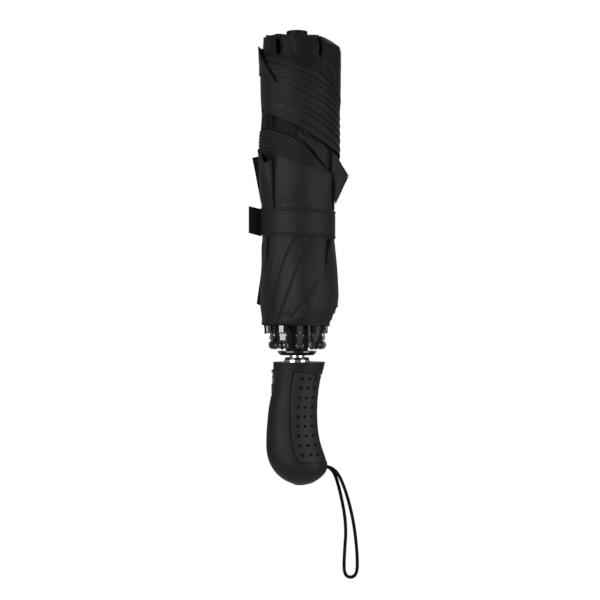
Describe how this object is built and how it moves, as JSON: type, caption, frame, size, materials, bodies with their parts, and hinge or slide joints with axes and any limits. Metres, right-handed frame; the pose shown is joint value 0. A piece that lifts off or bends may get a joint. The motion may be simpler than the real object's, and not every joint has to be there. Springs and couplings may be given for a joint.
{
  "type": "folding umbrella",
  "caption": "Black compact folding umbrella, closed and strapped: push-button handle with wrist loop, telescoping shaft, runner, folding jointed ribs and a pleated canopy.",
  "frame": {"origin": "on the shaft axis at the middle of the hand grip", "axes": "+Z along the shaft from the handle to the top cap, -Y the front seen in the reference view, -X the push-button side"},
  "size_m": [0.0795, 0.0572, 0.3942],
  "materials": {
    "handle_soft_black": "soft-touch matte",
    "grip_rubber": "satin rubber with a grid of small dimples",
    "button_black": "satin black",
    "bright_chrome": "bright plated",
    "plain_steel": "plain",
    "shaft_chrome": "polished tube",
    "collar_black": "gloss",
    "fitting_black": "moulded satin",
    "cap_black": "gloss",
    "rib_black": "gloss black enamel",
    "rib_tip_black": "resin rod, satin",
    "canopy_cloth": "tight black pongee with a soft sheen",
    "loop_webbing": "flat woven cord"
  },
  "bodies": {
    "handle": {"handle_front_shell": "handle_soft_black", "handle_rear_shell": "handle_soft_black", "grip_pad": "grip_rubber", "shaft_pin": "plain_steel", "shaft_collar": "collar_black", "collar_band": "bright_chrome", "inner_tube": "shaft_chrome", "wrist_cord": "loop_webbing"},
    "button": {"button": "button_black", "button_plate": "bright_chrome", "latch_plate": "plain_steel"},
    "middle_tube": {"middle_tube": "shaft_chrome"},
    "top_section": {"outer_tube": "shaft_chrome", "crown": "fitting_black", "top_cap": "cap_black", "canopy": "canopy_cloth", "strap": "canopy_cloth"},
    "strap_tab": {"strap_tab": "canopy_cloth"},
    "runner": {"runner": "fitting_black", "runner_cup": "fitting_black"},
    "main_rib_1": {"main_rib_1": "rib_black"},
    "stretcher_1": {"stretcher_1": "rib_black"},
    "middle_rib_1": {"middle_rib_1": "rib_black"},
    "outer_rib_1": {"outer_rib_1": "rib_tip_black"},
    "main_rib_2": {"main_rib_2": "rib_black"},
    "stretcher_2": {"stretcher_2": "rib_black"},
    "middle_rib_2": {"middle_rib_2": "rib_black"},
    "outer_rib_2": {"outer_rib_2": "rib_tip_black"},
    "main_rib_3": {"main_rib_3": "rib_black"},
    "stretcher_3": {"stretcher_3": "rib_black"},
    "middle_rib_3": {"middle_rib_3": "rib_black"},
    "outer_rib_3": {"outer_rib_3": "rib_tip_black"},
    "main_rib_4": {"main_rib_4": "rib_black"},
    "stretcher_4": {"stretcher_4": "rib_black"},
    "middle_rib_4": {"middle_rib_4": "rib_black"},
    "outer_rib_4": {"outer_rib_4": "rib_tip_black"},
    "main_rib_5": {"main_rib_5": "rib_black"},
    "stretcher_5": {"stretcher_5": "rib_black"},
    "middle_rib_5": {"middle_rib_5": "rib_black"},
    "outer_rib_5": {"outer_rib_5": "rib_tip_black"},
    "main_rib_6": {"main_rib_6": "rib_black"},
    "stretcher_6": {"stretcher_6": "rib_black"},
    "middle_rib_6": {"middle_rib_6": "rib_black"},
    "outer_rib_6": {"outer_rib_6": "rib_tip_black"},
    "main_rib_7": {"main_rib_7": "rib_black"},
    "stretcher_7": {"stretcher_7": "rib_black"},
    "middle_rib_7": {"middle_rib_7": "rib_black"},
    "outer_rib_7": {"outer_rib_7": "rib_tip_black"},
    "main_rib_8": {"main_rib_8": "rib_black"},
    "stretcher_8": {"stretcher_8": "rib_black"},
    "middle_rib_8": {"middle_rib_8": "rib_black"},
    "outer_rib_8": {"outer_rib_8": "rib_tip_black"},
    "main_rib_9": {"main_rib_9": "rib_black"},
    "stretcher_9": {"stretcher_9": "rib_black"},
    "middle_rib_9": {"middle_rib_9": "rib_black"},
    "outer_rib_9": {"outer_rib_9": "rib_tip_black"},
    "main_rib_10": {"main_rib_10": "rib_black"},
    "stretcher_10": {"stretcher_10": "rib_black"},
    "middle_rib_10": {"middle_rib_10": "rib_black"},
    "outer_rib_10": {"outer_rib_10": "rib_tip_black"}
  },
  "joints": [
    {"name": "button_press", "type": "slide", "parent": "handle", "child": "button", "axis": [1, 0, 0], "range_m": [0, 0.0025], "stiffness_N_per_m": 600},
    {"name": "middle_tube_slide", "type": "slide", "parent": "handle", "child": "middle_tube", "axis": [0, 0, 1], "range_m": [0, 0.145]},
    {"name": "outer_tube_slide", "type": "slide", "parent": "middle_tube", "child": "top_section", "axis": [0, 0, 1], "range_m": [0, 0.145]},
    {"name": "strap_tab_peel", "type": "hinge", "parent": "top_section", "child": "strap_tab", "pos_m": [-0.0267, -0.003, 0.144], "axis": [0, 0, 1], "range_deg": [0, 70]},
    {"name": "runner_slide", "type": "slide", "parent": "top_section", "child": "runner", "axis": [0, 0, 1], "range_m": [0, 0.1442], "deforming": ["canopy", "strap"]},
    {"name": "main_rib_1_swing", "type": "hinge", "parent": "top_section", "child": "main_rib_1", "pos_m": [0.00089, -0.00845, 0.266], "axis": [-0.9945, -0.1045, 0], "range_deg": [0, 74.96]},
    {"name": "stretcher_1_swing", "type": "hinge", "parent": "runner", "child": "stretcher_1", "pos_m": [-0.00199, -0.00976, 0.075], "axis": [0.9945, 0.1045, 0], "range_deg": [0, 73.19]},
    {"name": "middle_rib_1_swing", "type": "hinge", "parent": "main_rib_1", "child": "middle_rib_1", "pos_m": [0.00186, -0.0177, 0.0564], "axis": [0.9945, 0.1045, 0], "range_deg": [0, 184.42]},
    {"name": "outer_rib_1_swing", "type": "hinge", "parent": "middle_rib_1", "child": "outer_rib_1", "pos_m": [0.002, -0.019, 0.261], "axis": [-0.9945, -0.1045, 0], "range_deg": [0, 174.29]},
    {"name": "main_rib_2_swing", "type": "hinge", "parent": "top_section", "child": "main_rib_2", "pos_m": [0.00569, -0.00632, 0.266], "axis": [-0.7431, -0.6691, 0], "range_deg": [0, 74.96]},
    {"name": "stretcher_2_swing", "type": "hinge", "parent": "runner", "child": "stretcher_2", "pos_m": [0.00413, -0.00907, 0.075], "axis": [0.7431, 0.6691, 0], "range_deg": [0, 73.19]},
    {"name": "middle_rib_2_swing", "type": "hinge", "parent": "main_rib_2", "child": "middle_rib_2", "pos_m": [0.01191, -0.01323, 0.0564], "axis": [0.7431, 0.6691, 0], "range_deg": [0, 184.42]},
    {"name": "outer_rib_2_swing", "type": "hinge", "parent": "middle_rib_2", "child": "outer_rib_2", "pos_m": [0.01278, -0.01419, 0.261], "axis": [-0.7431, -0.6691, 0], "range_deg": [0, 174.29]},
    {"name": "main_rib_3_swing", "type": "hinge", "parent": "top_section", "child": "main_rib_3", "pos_m": [0.00831, -0.00177, 0.266], "axis": [-0.2079, -0.9781, 0], "range_deg": [0, 74.96]},
    {"name": "stretcher_3_swing", "type": "hinge", "parent": "runner", "child": "stretcher_3", "pos_m": [0.00867, -0.00491, 0.075], "axis": [0.2079, 0.9781, 0], "range_deg": [0, 73.19]},
    {"name": "middle_rib_3_swing", "type": "hinge", "parent": "main_rib_3", "child": "middle_rib_3", "pos_m": [0.01741, -0.0037, 0.0564], "axis": [0.2079, 0.9781, 0], "range_deg": [0, 184.42]},
    {"name": "outer_rib_3_swing", "type": "hinge", "parent": "middle_rib_3", "child": "outer_rib_3", "pos_m": [0.01868, -0.00397, 0.261], "axis": [-0.2079, -0.9781, 0], "range_deg": [0, 174.29]},
    {"name": "main_rib_4_swing", "type": "hinge", "parent": "top_section", "child": "main_rib_4", "pos_m": [0.00777, 0.00346, 0.266], "axis": [0.4067, -0.9135, 0], "range_deg": [0, 74.96]},
    {"name": "stretcher_4_swing", "type": "hinge", "parent": "runner", "child": "stretcher_4", "pos_m": [0.0099, 0.00112, 0.075], "axis": [-0.4067, 0.9135, 0], "range_deg": [0, 73.19]},
    {"name": "middle_rib_4_swing", "type": "hinge", "parent": "main_rib_4", "child": "middle_rib_4", "pos_m": [0.01626, 0.00724, 0.0564], "axis": [-0.4067, 0.9135, 0], "range_deg": [0, 184.42]},
    {"name": "outer_rib_4_swing", "type": "hinge", "parent": "middle_rib_4", "child": "outer_rib_4", "pos_m": [0.01745, 0.00777, 0.261], "axis": [0.4067, -0.9135, 0], "range_deg": [0, 174.29]},
    {"name": "main_rib_5_swing", "type": "hinge", "parent": "top_section", "child": "main_rib_5", "pos_m": [0.00425, 0.00736, 0.266], "axis": [0.866, -0.5, 0], "range_deg": [0, 74.96]},
    {"name": "stretcher_5_swing", "type": "hinge", "parent": "runner", "child": "stretcher_5", "pos_m": [0.00735, 0.00673, 0.075], "axis": [-0.866, 0.5, 0], "range_deg": [0, 73.19]},
    {"name": "middle_rib_5_swing", "type": "hinge", "parent": "main_rib_5", "child": "middle_rib_5", "pos_m": [0.0089, 0.01541, 0.0564], "axis": [-0.866, 0.5, 0], "range_deg": [0, 184.42]},
    {"name": "outer_rib_5_swing", "type": "hinge", "parent": "middle_rib_5", "child": "outer_rib_5", "pos_m": [0.00955, 0.01654, 0.261], "axis": [0.866, -0.5, 0], "range_deg": [0, 174.29]},
    {"name": "main_rib_6_swing", "type": "hinge", "parent": "top_section", "child": "main_rib_6", "pos_m": [-0.00089, 0.00845, 0.266], "axis": [0.9945, 0.1045, 0], "range_deg": [0, 74.96]},
    {"name": "stretcher_6_swing", "type": "hinge", "parent": "runner", "child": "stretcher_6", "pos_m": [0.00199, 0.00976, 0.075], "axis": [-0.9945, -0.1045, 0], "range_deg": [0, 73.19]},
    {"name": "middle_rib_6_swing", "type": "hinge", "parent": "main_rib_6", "child": "middle_rib_6", "pos_m": [-0.00186, 0.0177, 0.0564], "axis": [-0.9945, -0.1045, 0], "range_deg": [0, 184.42]},
    {"name": "outer_rib_6_swing", "type": "hinge", "parent": "middle_rib_6", "child": "outer_rib_6", "pos_m": [-0.002, 0.019, 0.261], "axis": [0.9945, 0.1045, 0], "range_deg": [0, 174.29]},
    {"name": "main_rib_7_swing", "type": "hinge", "parent": "top_section", "child": "main_rib_7", "pos_m": [-0.00569, 0.00632, 0.266], "axis": [0.7431, 0.6691, 0], "range_deg": [0, 74.96]},
    {"name": "stretcher_7_swing", "type": "hinge", "parent": "runner", "child": "stretcher_7", "pos_m": [-0.00413, 0.00907, 0.075], "axis": [-0.7431, -0.6691, 0], "range_deg": [0, 73.19]},
    {"name": "middle_rib_7_swing", "type": "hinge", "parent": "main_rib_7", "child": "middle_rib_7", "pos_m": [-0.01191, 0.01323, 0.0564], "axis": [-0.7431, -0.6691, 0], "range_deg": [0, 184.42]},
    {"name": "outer_rib_7_swing", "type": "hinge", "parent": "middle_rib_7", "child": "outer_rib_7", "pos_m": [-0.01278, 0.01419, 0.261], "axis": [0.7431, 0.6691, 0], "range_deg": [0, 174.29]},
    {"name": "main_rib_8_swing", "type": "hinge", "parent": "top_section", "child": "main_rib_8", "pos_m": [-0.00831, 0.00177, 0.266], "axis": [0.2079, 0.9781, 0], "range_deg": [0, 74.96]},
    {"name": "stretcher_8_swing", "type": "hinge", "parent": "runner", "child": "stretcher_8", "pos_m": [-0.00867, 0.00491, 0.075], "axis": [-0.2079, -0.9781, 0], "range_deg": [0, 73.19]},
    {"name": "middle_rib_8_swing", "type": "hinge", "parent": "main_rib_8", "child": "middle_rib_8", "pos_m": [-0.01741, 0.0037, 0.0564], "axis": [-0.2079, -0.9781, 0], "range_deg": [0, 184.42]},
    {"name": "outer_rib_8_swing", "type": "hinge", "parent": "middle_rib_8", "child": "outer_rib_8", "pos_m": [-0.01868, 0.00397, 0.261], "axis": [0.2079, 0.9781, 0], "range_deg": [0, 174.29]},
    {"name": "main_rib_9_swing", "type": "hinge", "parent": "top_section", "child": "main_rib_9", "pos_m": [-0.00777, -0.00346, 0.266], "axis": [-0.4067, 0.9135, 0], "range_deg": [0, 74.96]},
    {"name": "stretcher_9_swing", "type": "hinge", "parent": "runner", "child": "stretcher_9", "pos_m": [-0.0099, -0.00112, 0.075], "axis": [0.4067, -0.9135, 0], "range_deg": [0, 73.19]},
    {"name": "middle_rib_9_swing", "type": "hinge", "parent": "main_rib_9", "child": "middle_rib_9", "pos_m": [-0.01626, -0.00724, 0.0564], "axis": [0.4067, -0.9135, 0], "range_deg": [0, 184.42]},
    {"name": "outer_rib_9_swing", "type": "hinge", "parent": "middle_rib_9", "child": "outer_rib_9", "pos_m": [-0.01745, -0.00777, 0.261], "axis": [-0.4067, 0.9135, 0], "range_deg": [0, 174.29]},
    {"name": "main_rib_10_swing", "type": "hinge", "parent": "top_section", "child": "main_rib_10", "pos_m": [-0.00425, -0.00736, 0.266], "axis": [-0.866, 0.5, 0], "range_deg": [0, 74.96]},
    {"name": "stretcher_10_swing", "type": "hinge", "parent": "runner", "child": "stretcher_10", "pos_m": [-0.00735, -0.00673, 0.075], "axis": [0.866, -0.5, 0], "range_deg": [0, 73.19]},
    {"name": "middle_rib_10_swing", "type": "hinge", "parent": "main_rib_10", "child": "middle_rib_10", "pos_m": [-0.0089, -0.01541, 0.0564], "axis": [0.866, -0.5, 0], "range_deg": [0, 184.42]},
    {"name": "outer_rib_10_swing", "type": "hinge", "parent": "middle_rib_10", "child": "outer_rib_10", "pos_m": [-0.00955, -0.01654, 0.261], "axis": [-0.866, 0.5, 0], "range_deg": [0, 174.29]}
  ],
  "couplings": [
    {"joint": "main_rib_1_swing", "follows": "runner_slide", "rad_per_m": 9.0672},
    {"joint": "stretcher_1_swing", "follows": "runner_slide", "rad_per_m": 8.8526},
    {"joint": "middle_rib_1_swing", "follows": "runner_slide", "rad_per_m": 22.315},
    {"joint": "outer_rib_1_swing", "follows": "runner_slide", "rad_per_m": 21.09},
    {"joint": "main_rib_2_swing", "follows": "runner_slide", "rad_per_m": 9.0672},
    {"joint": "stretcher_2_swing", "follows": "runner_slide", "rad_per_m": 8.8526},
    {"joint": "middle_rib_2_swing", "follows": "runner_slide", "rad_per_m": 22.315},
    {"joint": "outer_rib_2_swing", "follows": "runner_slide", "rad_per_m": 21.09},
    {"joint": "main_rib_3_swing", "follows": "runner_slide", "rad_per_m": 9.0672},
    {"joint": "stretcher_3_swing", "follows": "runner_slide", "rad_per_m": 8.8526},
    {"joint": "middle_rib_3_swing", "follows": "runner_slide", "rad_per_m": 22.315},
    {"joint": "outer_rib_3_swing", "follows": "runner_slide", "rad_per_m": 21.09},
    {"joint": "main_rib_4_swing", "follows": "runner_slide", "rad_per_m": 9.0672},
    {"joint": "stretcher_4_swing", "follows": "runner_slide", "rad_per_m": 8.8526},
    {"joint": "middle_rib_4_swing", "follows": "runner_slide", "rad_per_m": 22.315},
    {"joint": "outer_rib_4_swing", "follows": "runner_slide", "rad_per_m": 21.09},
    {"joint": "main_rib_5_swing", "follows": "runner_slide", "rad_per_m": 9.0672},
    {"joint": "stretcher_5_swing", "follows": "runner_slide", "rad_per_m": 8.8526},
    {"joint": "middle_rib_5_swing", "follows": "runner_slide", "rad_per_m": 22.315},
    {"joint": "outer_rib_5_swing", "follows": "runner_slide", "rad_per_m": 21.09},
    {"joint": "main_rib_6_swing", "follows": "runner_slide", "rad_per_m": 9.0672},
    {"joint": "stretcher_6_swing", "follows": "runner_slide", "rad_per_m": 8.8526},
    {"joint": "middle_rib_6_swing", "follows": "runner_slide", "rad_per_m": 22.315},
    {"joint": "outer_rib_6_swing", "follows": "runner_slide", "rad_per_m": 21.09},
    {"joint": "main_rib_7_swing", "follows": "runner_slide", "rad_per_m": 9.0672},
    {"joint": "stretcher_7_swing", "follows": "runner_slide", "rad_per_m": 8.8526},
    {"joint": "middle_rib_7_swing", "follows": "runner_slide", "rad_per_m": 22.315},
    {"joint": "outer_rib_7_swing", "follows": "runner_slide", "rad_per_m": 21.09},
    {"joint": "main_rib_8_swing", "follows": "runner_slide", "rad_per_m": 9.0672},
    {"joint": "stretcher_8_swing", "follows": "runner_slide", "rad_per_m": 8.8526},
    {"joint": "middle_rib_8_swing", "follows": "runner_slide", "rad_per_m": 22.315},
    {"joint": "outer_rib_8_swing", "follows": "runner_slide", "rad_per_m": 21.09},
    {"joint": "main_rib_9_swing", "follows": "runner_slide", "rad_per_m": 9.0672},
    {"joint": "stretcher_9_swing", "follows": "runner_slide", "rad_per_m": 8.8526},
    {"joint": "middle_rib_9_swing", "follows": "runner_slide", "rad_per_m": 22.315},
    {"joint": "outer_rib_9_swing", "follows": "runner_slide", "rad_per_m": 21.09},
    {"joint": "main_rib_10_swing", "follows": "runner_slide", "rad_per_m": 9.0672},
    {"joint": "stretcher_10_swing", "follows": "runner_slide", "rad_per_m": 8.8526},
    {"joint": "middle_rib_10_swing", "follows": "runner_slide", "rad_per_m": 22.315},
    {"joint": "outer_rib_10_swing", "follows": "runner_slide", "rad_per_m": 21.09}
  ]
}
